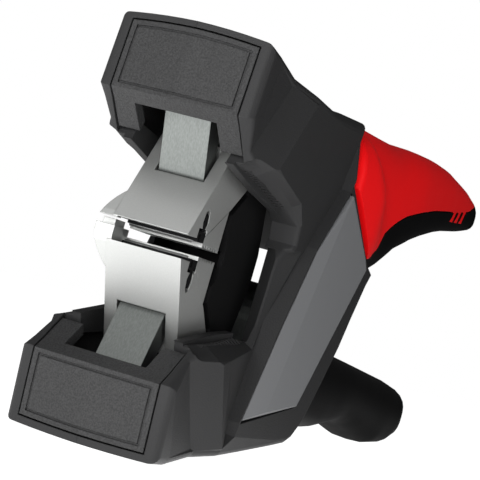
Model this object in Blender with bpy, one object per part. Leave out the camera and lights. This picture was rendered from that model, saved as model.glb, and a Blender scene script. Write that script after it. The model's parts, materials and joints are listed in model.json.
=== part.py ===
"""Self-adjusting flat-cable stripper in pistol form, with a fixed upper handle and one squeeze lever.

Metres, +Z up. Shapes are drawn in the tool's own millimetres: X runs back from the mouth edge of
the front faces, Y across the tool, Z up from the middle of the mouth. place() and the mesh builders
move them into the world, where the origin is under the middle of the tool's outer box.
"""
import math

import bmesh
import bpy
from mathutils import Matrix, Vector
from mathutils.geometry import delaunay_2d_cdt

MM = 0.001

# Driving dimensions, in millimetres
TOOL_LENGTH = 180.0
MOUTH_MID_HEIGHT = 37.4      # the middle of the mouth above the lowest face
GAP = 0.3                    # between pieces that touch
WALL = 2.6
FRONT_HALF_WIDTH = 13.8
ARM_HALF_WIDTH = 15.0
SPINE_HALF_WIDTH = 16.4
LABEL_HALF_WIDTH = 17.1
MOUTH_RIM_HALF_WIDTH = 12.8
SLOT_HALF_WIDTH = 9.3        # opening of the arms and of the spine, where the jaws and carriage run
JAW_HALF_WIDTH = 7.4
LIP_HEIGHT = 2.15            # each jaw's lip, above or below the middle of the mouth
EAR_RADIUS = 10.2
LINK_HALF_WIDTH = 4.5
LINK_THICKNESS = 4.0
LINK_TOP = (9.2, 26.0)       # link pivot on the yoke
LINK_FOOT = (16.4, 8.2)      # link's end inside the jaw
LINK_SWING = math.radians(6.5)
LEVER_PIVOT = (64.0, -8.0)
CRANK_PIN = (58.5, -22.5)
YOKE_PIN = (50.0, -22.5)
PIN_RADIUS = 1.5
PIVOT_RADIUS = 3.0
RUNNING = 0.4                # radial clearance of a pin that turns
GUIDE_HEIGHT = 17.0          # the carriage's guide rods, above and below the middle
GUIDE_RADIUS = 1.25
JAW_BACK = 26.0
BLADE_EDGE = 1.2             # clear of the middle after the jaw's 0.7 and the blade's 0.4 of travel
CARRIAGE_TRAVEL = 2.7        # how far the squeeze draws the carriage and jaws back
SCREW_RADIUS = 1.1
SCREW_HEAD_RADIUS = 2.3
FRAME_SCREWS = [(33.0, 21.4), (33.0, -21.4)]
HANDLE_SCREWS = [(84.0, 24.0), (121.0, 31.0)]
FRAME_SCREW_END = 12.2       # how far past the middle each screw reaches
HANDLE_SCREW_END = 8.5
ORIGIN = Vector((-TOOL_LENGTH / 2, 0.0, MOUTH_MID_HEIGHT)) * MM

BLACK = (0.016, 0.016, 0.017, 1)
SOFT_BLACK = (0.012, 0.012, 0.013, 1)
RED = (0.62, 0.008, 0.012, 1)
GREY = (0.11, 0.11, 0.115, 1)
STEEL = (0.58, 0.58, 0.57, 1)
DARK_STEEL = (0.35, 0.35, 0.35, 1)
FINISHES = {
    "casing_plastic": (BLACK, 0.55, 0.0),
    "insert_plastic": (BLACK, 0.62, 0.0),
    "soft_grip": (SOFT_BLACK, 0.6, 0.0),
    "handle_red": (RED, 0.4, 0.0),
    "label_grey": (GREY, 0.5, 0.0),
    "lever_plastic": (BLACK, 0.3, 0.0),
    "carriage_black": (BLACK, 0.5, 0.0),
    "satin_steel": (STEEL, 0.35, 1.0),
    "brushed_steel": (DARK_STEEL, 0.4, 1.0),
    "plain_steel": (DARK_STEEL, 0.3, 1.0),
}


def clear_scene():
    for obj in list(bpy.data.objects):
        bpy.data.objects.remove(obj, do_unlink=True)


def material_for(node, finish):
    """A material of the node's own, with its finish's colour, roughness and metallic value."""
    color, roughness, metallic = FINISHES[finish]
    material = bpy.data.materials.new(node)
    material.use_nodes = True
    shader = material.node_tree.nodes["Principled BSDF"]
    shader.inputs["Base Color"].default_value = color
    shader.inputs["Roughness"].default_value = roughness
    shader.inputs["Metallic"].default_value = metallic
    return material


def to_world(point):
    return Vector(point) * MM + ORIGIN


def new_object(name, mesh_data, finish=None, pivot=(0, 0, 0)):
    """An object whose origin lies at pivot, from a bmesh in tool millimetres."""
    shift = Vector(pivot)
    for vert in mesh_data.verts:
        vert.co = (vert.co - shift) * MM
    bmesh.ops.recalc_face_normals(mesh_data, faces=mesh_data.faces)
    mesh = bpy.data.meshes.new(name)
    mesh_data.to_mesh(mesh)
    mesh_data.free()
    obj = bpy.data.objects.new(name, mesh)
    obj.location = to_world(pivot)
    bpy.context.scene.collection.objects.link(obj)
    if finish:
        mesh.materials.append(material_for(name, finish))
        mesh.shade_smooth()
        mesh.set_sharp_from_angle(angle=math.radians(32))
    else:
        obj.hide_render = True
        obj.display_type = "WIRE"
    return obj


def flat_triangles(outline):
    """The outline's inside as triangles, given as indices into the outline."""
    points = [Vector(p) for p in outline]
    edges = [(i, (i + 1) % len(points)) for i in range(len(points))]
    _, _, faces, sources, _, _ = delaunay_2d_cdt(points, edges, [list(range(len(points)))], 1, 1e-6)
    return [[sources[i][0] for i in face] for face in faces]


def cap(shape, ring):
    """Closes a ring of vertices that lie in one plane across the tool, however bent its outline."""
    for corners in flat_triangles([(vert.co.x, vert.co.z) for vert in ring]):
        shape.faces.new([ring[i] for i in corners])


def join_rings(shape, rings):
    for lower, upper in zip(rings, rings[1:]):
        for i in range(len(lower)):
            shape.faces.new((lower[i - 1], lower[i], upper[i], upper[i - 1]))


def prism(outline, y_low, y_high):
    """A bmesh of an outline in X and Z, extruded across the tool."""
    shape = bmesh.new()
    rings = [[shape.verts.new((x, y, z)) for x, z in outline] for y in (y_low, y_high)]
    join_rings(shape, rings)
    for ring in rings:
        cap(shape, ring)
    return shape


def block(low, high):
    (x0, y0, z0), (x1, y1, z1) = low, high
    return prism([(x0, z0), (x1, z0), (x1, z1), (x0, z1)], y0, y1)


def circle(center, radius, steps=24, start=0.0, end=360.0):
    """Points on an arc in X and Z; a full circle leaves out its repeated last point."""
    count = steps if end - start >= 360.0 else steps + 1
    angles = [math.radians(start + (end - start) * i / steps) for i in range(count)]
    return [(center[0] + radius * math.cos(a), center[1] + radius * math.sin(a)) for a in angles]


def pin_shape(center, radius, half_length, steps=20):
    return prism(circle(center, radius, steps), -half_length, half_length)


def mirrored(outline):
    """The same outline on the other side of the mouth."""
    return [(x, -z) for x, z in outline]


def on_side(outline, side):
    return outline if side > 0 else mirrored(outline)


def turned_box(center, size, lean, y_half):
    """A box of length size[1] along a line that leans by an angle from vertical, in X and Z."""
    half_x, half_z = size[0] / 2, size[1] / 2
    corners = [(-half_x, -half_z), (half_x, -half_z), (half_x, half_z), (-half_x, half_z)]
    sine, cosine = math.sin(lean), math.cos(lean)
    return prism([(center[0] + x * cosine - z * sine, center[1] + x * sine + z * cosine)
                  for x, z in corners], -y_half, y_half)


def cut(obj, *shapes):
    """Boolean differences with EXACT cutters, one for each shape."""
    for index, shape in enumerate(shapes):
        cutter = new_object(f"cutter_{obj.name}_{index}", shape)
        modifier = obj.modifiers.new(f"cut_{index}", "BOOLEAN")
        modifier.operation = "DIFFERENCE"
        modifier.solver = "EXACT"
        modifier.object = cutter
    return obj


def add(obj, *shapes):
    """Boolean unions, one for each shape, made before any cut."""
    for index, shape in enumerate(shapes):
        other = new_object(f"addition_{obj.name}_{index}", shape)
        modifier = obj.modifiers.new(f"join_{index}", "BOOLEAN")
        modifier.operation = "UNION"
        modifier.solver = "EXACT"
        modifier.object = other
    return obj


def inset(outline, distance):
    """The outline moved inwards by a distance, for an outline that runs counter-clockwise."""
    result = []
    count = len(outline)
    for i, (x, z) in enumerate(outline):
        before = Vector(outline[i]) - Vector(outline[i - 1])
        after = Vector(outline[(i + 1) % count]) - Vector(outline[i])
        normal_a = Vector((-before.y, before.x)).normalized()
        normal_b = Vector((-after.y, after.x)).normalized()
        middle = (normal_a + normal_b).normalized()
        reach = distance / max(0.45, middle.dot(normal_a))
        result.append((x + middle.x * reach, z + middle.y * reach))
    return result


def counter_clockwise(outline):
    area = sum(outline[i - 1][0] * z - x * outline[i - 1][1] for i, (x, z) in enumerate(outline))
    return list(outline) if area > 0 else list(reversed(outline))


def half_shell(outline, side, y_inner, chamfer, half_width, creases=()):
    """One side of a casing: flat at the split face, chamfered at its rim, and bulged out as
    half_width(x, z) says, with an edge along each crease line."""
    outline = counter_clockwise(outline)
    rim = inset(outline, chamfer)
    points = [Vector(p) for p in rim]
    edges = [(i, (i + 1) % len(rim)) for i in range(len(rim))]
    for line in creases:
        start = len(points)
        points += [Vector(p) for p in line]
        edges += [(start + i, start + i + 1) for i in range(len(line) - 1)]
    flat, _, faces, origins, _, _ = delaunay_2d_cdt(points, edges, [list(range(len(rim)))], 1, 1e-5)
    shape = bmesh.new()
    top = [shape.verts.new((p.x, side * half_width(p.x, p.y), p.y)) for p in flat]
    for face in faces:
        shape.faces.new([top[i] for i in face])
    loop = [edge for edge in shape.edges if len(edge.link_faces) == 1]
    ring = order_ring(loop)
    shoulder = ring_copy(shape, ring, outline, rim, side,
                         lambda x, z: half_width(x, z) - chamfer)
    base = ring_copy(shape, ring, outline, rim, 1, lambda x, z: y_inner)
    join_rings(shape, [ring, shoulder, base])
    cap(shape, base)
    return shape


def order_ring(edges):
    """The vertices of one closed ring of edges, in order."""
    links = {}
    for edge in edges:
        for vert in edge.verts:
            links.setdefault(vert, []).append(edge.other_vert(vert))
    ring = [edges[0].verts[0], edges[0].verts[1]]
    while len(ring) < len(links):
        ahead = [vert for vert in links[ring[-1]] if vert != ring[-2]]
        ring.append(ahead[0])
    return ring


def ring_copy(shape, ring, outline, rim, side, height):
    """A second ring, out at the outline, for the ring that lies at the inset rim."""
    result = []
    for vert in ring:
        here = Vector((vert.co.x, vert.co.z))
        best = min(range(len(rim)), key=lambda i: segment_distance(here, rim, i)[0])
        t = segment_distance(here, rim, best)[1]
        a, b = Vector(outline[best]), Vector(outline[(best + 1) % len(outline)])
        spot = a.lerp(b, t)
        result.append(shape.verts.new((spot.x, side * height(spot.x, spot.y), spot.y)))
    return result


def segment_distance(point, outline, index):
    a, b = Vector(outline[index]), Vector(outline[(index + 1) % len(outline)])
    along = b - a
    t = min(1.0, max(0.0, (point - a).dot(along) / along.length_squared))
    return (a + along * t - point).length, t


def between(value, low, high):
    return min(1.0, max(0.0, (value - low) / (high - low)))


def line_x(line, z):
    """The X of a line of points, at a height, carried on past its ends."""
    points = sorted(line, key=lambda p: p[1])
    for a, b in zip(points, points[1:]):
        if z <= b[1] or b is points[-1]:
            return a[0] + (b[0] - a[0]) * (z - a[1]) / (b[1] - a[1])


# The casing: outlines in X and Z
UPPER_ARM_TOP = [(1.5, 37.2), (8.5, 36.4), (19.3, 34.4), (27.9, 33.3), (38.0, 32.8), (46.0, 33.6),
                 (60.3, 34.5)]
UPPER_ARM_MOUTH = [(0.0, 23.5), (8.1, 17.6), (20.0, 16.9), (35.0, 13.0), (40.8, 9.5), (39.8, 4.0)]
LOWER_ARM_MOUTH = [(39.8, -4.0), (40.0, -9.5), (38.0, -13.2), (20.0, -16.9), (8.1, -17.6), (0.0, -23.5)]
LOWER_ARM_BOTTOM = [(1.6, -37.4), (8.0, -37.4), (24.6, -35.0), (52.7, -31.4), (59.4, -30.8), (62.5, -29.8)]
BODY_REAR = [(66.5, -26.0), (72.0, -17.5), (76.5, -9.5), (79.0, -3.0), (82.2, 4.0), (84.5, 7.3)]
HANDLE_JOINT = [(78.0, 9.0), (57.6, 22.0)]
BAND_FRONT = [(9.8, 17.4), (20.0, 34.3)]
BAND_BACK = [(19.2, 16.9), (28.6, 33.2)]
SPINE_EDGE_FRONT = [(57.5, 34.2), (45.2, 3.0), (43.6, -3.0), (42.4, -8.5), (40.6, -14.5), (31.0, -33.0)]
SPINE_EDGE_BACK = [(60.0, 34.4), (56.0, 22.6), (48.0, 3.0), (46.0, -3.0), (37.0, -22.0), (33.0, -33.5)]


def casing_outline():
    return (UPPER_ARM_MOUTH + LOWER_ARM_MOUTH + LOWER_ARM_BOTTOM + BODY_REAR + HANDLE_JOINT
            + list(reversed(UPPER_ARM_TOP)))


def casing_half_width(x, z):
    """Narrow front boxes that flare through the bands, then step out at the spine's edge."""
    flare = between(x, line_x(BAND_FRONT, abs(z)), line_x(BAND_BACK, abs(z)))
    width = FRONT_HALF_WIDTH + flare * (ARM_HALF_WIDTH - FRONT_HALF_WIDTH)
    step = between(x, line_x(SPINE_EDGE_FRONT, z), line_x(SPINE_EDGE_BACK, z))
    width += step * (SPINE_HALF_WIDTH - width)
    near_mouth = (1.0 - between(x, 41.4, 43.2)) * (1.0 - between(abs(z), 9.0, 17.0))
    return width - near_mouth * (ARM_HALF_WIDTH - MOUTH_RIM_HALF_WIDTH)


def crease_lines():
    rim = 2.0
    lines = []
    for side in (1, -1):
        for band in (BAND_FRONT, BAND_BACK):
            (x0, z0), (x1, z1) = band
            step = (x1 - x0) / (z1 - z0) * rim
            lines.append([(x0 + step, side * (z0 + rim)), (x1 - step, side * (z1 - rim))])
    lines.append([(56.2, 31.0), (45.2, 3.0), (43.6, -3.0), (42.4, -8.5), (40.6, -14.5), (33.6, -28.0)])
    lines.append([(58.8, 31.5), (56.0, 22.6), (48.0, 3.0), (46.0, -3.0), (37.0, -22.0), (34.8, -29.5)])
    return lines


def make_casing():
    for side, name in ((-1, "frame_shell_left"), (1, "frame_shell_right")):
        shape = half_shell(casing_outline(), side, side * GAP / 2, 1.4, casing_half_width, crease_lines())
        shell = new_object(name, shape, "casing_plastic")
        near, far = -side * 1.0, side * 11.2
        arm = [(-1.0, 24.0), (3.0, 20.4), (40.0, 13.0 + WALL), (46.0, 15.6), (52.0, 30.4), (28.0, 30.6),
               (19.3, 31.8), (8.5, 33.8), (-1.0, 34.6)]
        wide = side * (SPINE_HALF_WIDTH - 3.1)
        spine = [(45.5, 30.0), (60.0, 31.8), (56.5, 21.0), (77.0, 7.4), (82.0, 6.4), (90.0, 6.4),
                 (73.0, -24.0), (66.0, -30.5), (60.0, -28.9), (45.5, -29.8)]
        slot = side * SLOT_HALF_WIDTH
        cutters = [prism(arm, near, far), prism(mirrored(arm), near, far), prism(spine, near, wide),
                   block((7.0, near, 10.0), (60.0, slot, 22.0)),
                   block((7.0, near, -22.0), (60.0, slot, -10.0)),
                   block((30.0, near, -22.0), (60.0, slot, 22.0))]
        pocket = LABEL_OUTLINE
        cutters.append(prism(pocket, side * (SPINE_HALF_WIDTH - 0.8), side * 20.0))
        for x, z in FRAME_SCREWS:
            cutters.append(prism(circle((x, z), SCREW_RADIUS + GAP, 12), near,
                                 20.0 if side > 0 else -FRAME_SCREW_END - 0.5))
            if side > 0:
                cutters.append(prism(circle((x, z), SCREW_HEAD_RADIUS + GAP, 16), 12.9, 20.0))
        for level in (1, -1):
            recess = on_side([(-3.0, 21.0), (-3.0, 36.1), (3.8, 36.1), (3.8, 23.8), (10.4, 19.2), (8.6, 16.0),
                              (6.0, 16.0)], level)
            cutters.append(prism(recess, near, side * (INSERT_HALF_WIDTH + GAP)))
        cutters.append(prism(circle(LEVER_PIVOT, PIVOT_RADIUS + GAP, 20), near, side * 14.6))
        cut(shell, *cutters)


LABEL_OUTLINE = [(35.6, -26.9), (59.6, -22.2), (62.6, -21.2), (69.0, -8.6), (77.0, 7.2), (57.0, 20.6),
                 (47.6, 0.2)]


def make_labels():
    for side, name in ((-1, "label_plate_left"), (1, "label_plate_right")):
        plate = counter_clockwise(LABEL_OUTLINE)
        shape = half_shell(inset(plate, GAP), side, side * (SPINE_HALF_WIDTH - 0.8 + GAP), 0.5,
                           lambda x, z: LABEL_HALF_WIDTH)
        new_object(name, shape, "label_grey")


INSERT_HALF_WIDTH = 12.2
INSERT_OUTLINE = [(0.0, 23.6), (1.35, 35.8), (3.4, 35.5), (2.3, 24.6), (9.2, 19.6), (8.1, 17.7)]


def make_front_inserts():
    """A plate that covers each arm's front face and the ramp behind it, with the link's window."""
    for side, name in ((1, "upper_front_insert"), (-1, "lower_front_insert")):
        shape = prism(on_side(INSERT_OUTLINE, side), -INSERT_HALF_WIDTH, INSERT_HALF_WIDTH)
        window = [(2.6, 21.7), (9.9, 16.4), (9.9, 26.0), (4.2, 23.6)]
        insert = new_object(name, shape, "insert_plastic")
        cut(insert, prism(on_side(window, side), -8.0, 8.0))


HANDLE_TOP = [(61.3, 34.8), (80.0, 36.6), (98.0, 37.9), (103.0, 38.2), (107.0, 36.9), (126.5, 38.7),
              (150.0, 39.7), (165.0, 38.9), (172.5, 37.6)]
RED_EDGE = [(167.0, 33.2), (150.0, 30.2), (143.5, 29.0), (125.3, 26.0), (115.3, 23.4), (106.3, 20.4),
            (99.6, 17.1), (94.0, 14.4), (88.5, 12.2), (78.6, 9.4)]
GRIP_BOTTOM = [(84.9, 7.9), (97.0, 9.4), (103.1, 11.0), (109.1, 13.5), (118.2, 16.5), (127.9, 19.3),
               (140.0, 21.9), (155.0, 24.3), (168.0, 26.2), (175.5, 27.8), (179.3, 30.6), (180.0, 33.2),
               (178.4, 36.2)]


def handle_half_width(x, z):
    """Full width at the flange, slim at the grip, slimmer still at the tip."""
    neck = between(x, 84.0, 107.0)
    return SPINE_HALF_WIDTH + 0.3 - neck * (SPINE_HALF_WIDTH + 0.3 - 11.0) - 2.2 * between(x, 120.0, 178.0)


def make_handle():
    red = [(58.3, 22.5)] + HANDLE_TOP + RED_EDGE
    for side, name in ((-1, "handle_shell_left"), (1, "handle_shell_right")):
        shape = half_shell(red, side, side * GAP / 2, 2.4, handle_half_width)
        shell = new_object(name, shape, "handle_red")
        near = -side
        cutters = [prism([(66.0, 33.0), (64.0, 22.5), (82.0, 13.5), (98.0, 14.5), (103.0, 22.0),
                          (150.0, 34.0), (150.0, 36.5), (106.0, 33.5), (90.0, 34.0)], near, side * 6.5)]
        for x, z in HANDLE_SCREWS:
            cutters.append(prism(circle((x, z), SCREW_RADIUS + GAP, 12), near,
                                 20.0 if side > 0 else -HANDLE_SCREW_END - 0.5))
            if side > 0:
                floor = handle_half_width(x, z) - 2.5
                cutters.append(prism(circle((x, z), SCREW_HEAD_RADIUS + GAP, 16), floor, 20.0))
        cut(shell, *cutters)
    seam = [(x + GAP, z - GAP) for x, z in reversed(RED_EDGE)][1:]
    grip = counter_clockwise([(84.9, 10.6)] + seam + [(173.1, 37.6)] + list(reversed(GRIP_BOTTOM)))
    both = grip_solid(grip)
    new_object("handle_grip", both, "soft_grip")


def grip_solid(outline):
    """A full-width grip with a flat split seam outline and chamfered sides."""
    chamfer = 0.5
    rim = inset(outline, chamfer)
    shape = bmesh.new()
    rings = []
    for points, inward in ((rim, 0.0), (outline, chamfer)):
        rings.append([(x, handle_half_width(x, z) - inward, z) for x, z in points])
    sections = [[(x, -y, z) for x, y, z in rings[0]], [(x, -y, z) for x, y, z in rings[1]],
                rings[1], rings[0]]
    loops = [[shape.verts.new(p) for p in section] for section in sections]
    join_rings(shape, loops)
    cap(shape, loops[0])
    cap(shape, loops[-1])
    return shape


def screw_shape(x, z, head_face, end):
    """A countersunk screw with a round head at head_face and a hex socket."""
    shape = bmesh.new()
    profile = [(SCREW_HEAD_RADIUS, head_face), (SCREW_HEAD_RADIUS, head_face - 0.8),
               (SCREW_RADIUS, head_face - 1.9), (SCREW_RADIUS, -end)]
    loops = []
    for radius, y in profile:
        loops.append([shape.verts.new((px, y, pz)) for px, pz in circle((x, z), radius, 16)])
    join_rings(shape, loops)
    shape.faces.new(loops[0])
    shape.faces.new(loops[-1])
    return shape


def make_screws():
    for index, (x, z) in enumerate(FRAME_SCREWS, 1):
        screw = new_object(f"frame_screw_{index}", screw_shape(x, z, 14.6, FRAME_SCREW_END), "plain_steel")
        cut(screw, prism(circle((x, z), 1.2, 6), 13.7, 16.0))
    for index, (x, z) in enumerate(HANDLE_SCREWS, 1):
        face = handle_half_width(x, z) - 0.7
        screw = new_object(f"handle_screw_{index}", screw_shape(x, z, face, HANDLE_SCREW_END), "plain_steel")
        cut(screw, prism(circle((x, z), 1.2, 6), face - 0.9, face + 2.0))


def eye_strap(eye, eye_radius, foot, half_thickness):
    """An outline: a round eye, and a parallel strap from it that ends round at the foot."""
    along = math.degrees(math.atan2(foot[1] - eye[1], foot[0] - eye[0]))
    opening = math.degrees(math.asin(half_thickness / eye_radius))
    return (circle(eye, eye_radius, 16, along + opening, along + 360.0 - opening - 0.001)
            + circle(foot, half_thickness, 10, along - 90.0, along + 90.0))


def make_links():
    for side, name in ((1, "upper_link"), (-1, "lower_link")):
        outline = on_side(eye_strap(LINK_TOP, 3.3, LINK_FOOT, LINK_THICKNESS / 2), side)
        top = (LINK_TOP[0], side * LINK_TOP[1])
        link = new_object(name, prism(outline, -LINK_HALF_WIDTH, LINK_HALF_WIDTH), "brushed_steel",
                          (top[0], 0, top[1]))
        cut(link, pin_shape(top, PIN_RADIUS + RUNNING, 6.0))
        new_object(f"{name}_pin", pin_shape(top, PIN_RADIUS, 7.6), "plain_steel", (top[0], 0, top[1]))


YOKE_HALF_WIDTH = 7.8
YOKE_ARM = (23.4, 28.6)
YOKE_BACK = (48.2, 52.0)
CHEEK_INNER = 6.6
CHEEK_OUTER = 8.8


def make_yoke():
    """A U of two arms joined by two cheeks: the squeeze pulls it back, and it draws the links."""
    low, high = YOKE_ARM
    start, end = YOKE_BACK
    yoke = new_object("draw_yoke", block((5.4, -YOKE_HALF_WIDTH, low), (end, YOKE_HALF_WIDTH, high)),
                      "brushed_steel")
    pieces = [block((5.4, -YOKE_HALF_WIDTH, -high), (end, YOKE_HALF_WIDTH, -low))]
    for side in (-1, 1):
        near, far = sorted((side * CHEEK_INNER, side * CHEEK_OUTER))
        pieces.append(block((start, near, -high), (end, far, high)))
        inner, outer = sorted((side * 2.6, side * 5.2))
        pieces.append(block((46.8, inner, -25.0), (53.4, outer, -19.7)))
    add(yoke, *pieces)
    cutters = [block((0.0, -5.0, low - 2), (15.5, 5.0, high + 2)),
               block((0.0, -5.0, -high - 2), (15.5, 5.0, 2 - low))]
    for side in (1, -1):
        hole = (LINK_TOP[0], side * LINK_TOP[1])
        cutters.append(pin_shape(hole, PIN_RADIUS + GAP, 12.0))
    cutters.append(pin_shape(YOKE_PIN, PIN_RADIUS + GAP, 6.0))
    cutters.append(block((45.8, -2.4, -26.2), (56.0, 2.4, -18.0)))
    cut(yoke, *cutters)
    new_object("yoke_pin", pin_shape(YOKE_PIN, PIN_RADIUS, 5.2), "plain_steel",
               (YOKE_PIN[0], 0, YOKE_PIN[1]))


LIP_FRONT = 5.9
FACE_SLOPE = 0.608           # how far the jaw's face leans back for each millimetre of height
JAW_TOP = 19.0
BLADE_SLOT = [(10.0, -1.0), (13.6, -1.0), (13.6, 4.0), (12.7, 4.0), (13.15, 5.2), (12.8, 7.0), (12.0, 7.6),
              (11.2, 7.0), (10.85, 5.2), (11.3, 4.0), (10.0, 4.0)]
HOLDER = [(10.3, 1.6), (13.3, 1.6), (13.3, 3.5), (12.35, 3.5), (12.8, 5.0), (12.45, 6.4), (12.0, 6.8),
          (11.55, 6.4), (11.2, 5.0), (11.65, 3.5), (10.3, 3.5)]


def ear_shape(side, levels, depth, setback=0.05, inset_depth=0.9):
    """The round ear past the jaw's far side, as slices from height to height."""
    shape = bmesh.new()
    loops = []
    for z in levels:
        front = LIP_FRONT + FACE_SLOPE * max(0.0, abs(z) - LIP_HEIGHT) + setback
        back = min(front + depth, 12.8)
        outer = math.sqrt(EAR_RADIUS ** 2 - z ** 2)
        inner = JAW_HALF_WIDTH - inset_depth
        corners = [(front, inner), (back, inner), (back, outer), (front, outer)]
        loops.append([shape.verts.new((x, y, side * z)) for x, y in corners])
    join_rings(shape, loops)
    shape.faces.new(loops[0])
    shape.faces.new(loops[-1])
    return shape


def link_pocket(lean, side):
    """Room in a jaw for the link's foot, along the link's direction at one end of its swing."""
    middle = Vector(LINK_FOOT) + Vector((-math.sin(lean), math.cos(lean))) * 5.0
    pocket = turned_box(middle, (LINK_THICKNESS + 1.5, 15.6), lean, LINK_HALF_WIDTH + 0.4)
    if side < 0:
        for vert in pocket.verts:
            vert.co.z = -vert.co.z
        bmesh.ops.reverse_faces(pocket, faces=pocket.faces)
    return pocket


def make_jaws():
    outline = [(LIP_FRONT, LIP_HEIGHT), (11.6, LIP_HEIGHT), (13.2, 2.7), (21.6, 9.2), (JAW_BACK, 13.4),
               (JAW_BACK, JAW_TOP), (LIP_FRONT + FACE_SLOPE * (JAW_TOP - LIP_HEIGHT), JAW_TOP)]
    reach = Vector(LINK_TOP) - Vector(LINK_FOOT)
    lean = math.atan2(-reach.x, reach.y)
    for side, name in ((1, "upper_jaw"), (-1, "lower_jaw")):
        jaw = new_object(name, prism(on_side(outline, side), -JAW_HALF_WIDTH, JAW_HALF_WIDTH),
                         "satin_steel")
        if side > 0:
            add(jaw, ear_shape(1, [1.9, 3.0, 4.2, 5.4, 6.2, 7.0], 1.5))
        else:
            add(jaw, ear_shape(1, [-7.0, -6.2, -5.2, -4.0, -2.6, -1.2, 0.4], 9.0),
                ear_shape(1, [-1.0, 0.3, 1.6], 4.0, 2.4, -GAP))
        pockets = [link_pocket(lean - swing, side) for swing in (0.0, LINK_SWING)]
        cut(jaw, *pockets, prism(on_side(BLADE_SLOT, side), -12.0, JAW_HALF_WIDTH - 0.6))
        make_jaw_fittings(side, name.split("_")[0])


def make_jaw_fittings(side, level):
    """The toothed grip plate behind the jaw, and the blade in its holder."""
    pitch, depth, count = 1.1, 0.7, 6
    edge = 0.85
    teeth = []
    for i in range(count):
        teeth += [(13.9 + pitch * i, edge), (13.9 + pitch * (i + 0.5), edge + depth)]
    plate = [(13.65, edge)] + teeth + [(13.9 + pitch * count, edge), (21.3, edge), (21.3, 8.5),
                                        (13.65, 2.55)]
    new_object(f"{level}_grip_plate", prism(on_side(plate, side), -7.2, 7.2), "satin_steel")
    holder = new_object(f"{level}_blade_holder", prism(on_side(HOLDER, side), -JAW_HALF_WIDTH, 6.4),
                        "carriage_black")
    cut(holder, prism(on_side([(10.6, 0.5), (11.7, 0.5), (11.7, 3.0), (10.6, 3.0)], side), -9.0, 9.0))
    blade = [(11.15, BLADE_EDGE), (11.4, 1.6), (11.4, 2.7), (10.9, 2.7), (10.9, 1.6)]
    new_object(f"{level}_blade", prism(on_side(blade, side), -6.3, 6.3), "plain_steel")


CARRIAGE_HALF_WIDTH = 7.6


def make_carriage():
    """The block that the jaws ride on, with its throat for the cable and its guide bores."""
    arc = circle((16.4, 0.0), 7.6, 10, -44.0, 44.0)
    upper = [(22.3, 8.2), (26.9, 12.6), (26.9, 19.6), (36.5, 19.6), (37.2, 12.0), (39.8, 3.0)]
    lower = [(x, -z) for x, z in reversed(upper)]
    carriage = new_object("carriage", prism(arc + upper + lower, -CARRIAGE_HALF_WIDTH,
                                            CARRIAGE_HALF_WIDTH), "carriage_black")
    cutters = [block((20.0, -6.6, -1.6), (42.0, 6.6, 1.6))]
    for side in (1, -1):
        cutters.append(rod_shape(20.0, 42.0, side * GUIDE_HEIGHT, GUIDE_RADIUS + RUNNING))
    cut(carriage, *cutters)


def rod_shape(start, end, height, radius, steps=16):
    """A round rod along X at a height."""
    shape = bmesh.new()
    loops = []
    for x in (start, end):
        loops.append([shape.verts.new((x, y, height + z)) for y, z in circle((0, 0), radius, steps)])
    join_rings(shape, loops)
    shape.faces.new(loops[0])
    shape.faces.new(loops[1])
    return shape


def make_guides():
    for side, level in ((1, "upper"), (-1, "lower")):
        height = side * GUIDE_HEIGHT
        new_object(f"{level}_guide_rod", rod_shape(JAW_BACK + CARRIAGE_TRAVEL + GAP, 47.0, height, GUIDE_RADIUS),
                   "plain_steel")
        low, high = sorted((side * 14.6, side * 19.4))
        bracket = new_object(f"{level}_guide_bracket", block((43.4, -9.0, low), (46.6, 9.0, high)),
                             "carriage_black")
        cut(bracket, rod_shape(40.0, 50.0, height, GUIDE_RADIUS + GAP))


def make_length_stop():
    """A slide in the carriage's throat, with a head that the cable meets and a thumb tab behind."""
    head = block((30.0, -6.0, -1.2), (31.6, 6.0, 1.2))
    stop = new_object("length_stop", head, "carriage_black")
    add(stop, block((31.0, -2.4, -1.2), (45.0, 2.4, 1.2)), block((43.0, -4.0, -1.2), (46.4, 4.0, 10.6)))


SLEEVE_TOP = [(70.5, -10.6), (84.0, -10.4), (100.6, -10.8), (110.0, -11.5), (150.0, -13.7), (156.5, -15.2),
              (160.6, -18.0), (162.2, -21.3)]
SLEEVE_BOTTOM = [(160.6, -24.9), (156.0, -27.1), (148.0, -28.1), (136.0, -27.8), (124.7, -26.8),
                 (118.2, -25.7), (112.4, -26.4), (102.0, -27.7), (84.0, -28.3), (73.5, -27.0)]
SLEEVE_HALF_WIDTH = 8.2


def sleeve_half_width(x, z):
    return SLEEVE_HALF_WIDTH - 0.8 * between(x, 140.0, 162.0)


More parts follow.
